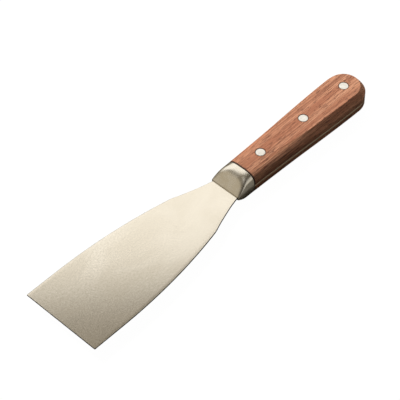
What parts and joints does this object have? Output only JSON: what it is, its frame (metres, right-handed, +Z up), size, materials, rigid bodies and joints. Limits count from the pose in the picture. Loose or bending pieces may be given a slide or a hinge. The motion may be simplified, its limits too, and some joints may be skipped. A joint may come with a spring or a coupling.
{
  "type": "putty knife",
  "caption": "Flexible putty knife with a thin flared steel blade, a full-width tang between riveted hardwood scales and a cast metal bolster, for filling and scraping.",
  "frame": {"origin": "middle of the knife's footprint, at the height of the handle's lower flat face", "axes": "+X along the knife from the working edge towards the butt, +Y across the blade, +Z up, square to the blade"},
  "size_m": [0.232, 0.05, 0.0157],
  "materials": {
    "blade_steel": "fine satin grind, slightly warm",
    "bolster_metal": "polished cast white metal, soft edges",
    "handle_wood": "reddish brown rosewood, satin oil",
    "rivet_metal": "bright, sanded flush"
  },
  "bodies": {
    "root": {"blade": "blade_steel", "bolster": "bolster_metal", "scale_upper": "handle_wood", "scale_lower": "handle_wood", "rivet_front_post": "rivet_metal", "rivet_front_sleeve": "rivet_metal", "rivet_middle_post": "rivet_metal", "rivet_middle_sleeve": "rivet_metal", "rivet_butt_post": "rivet_metal", "rivet_butt_sleeve": "rivet_metal"}
  },
  "joints": []
}
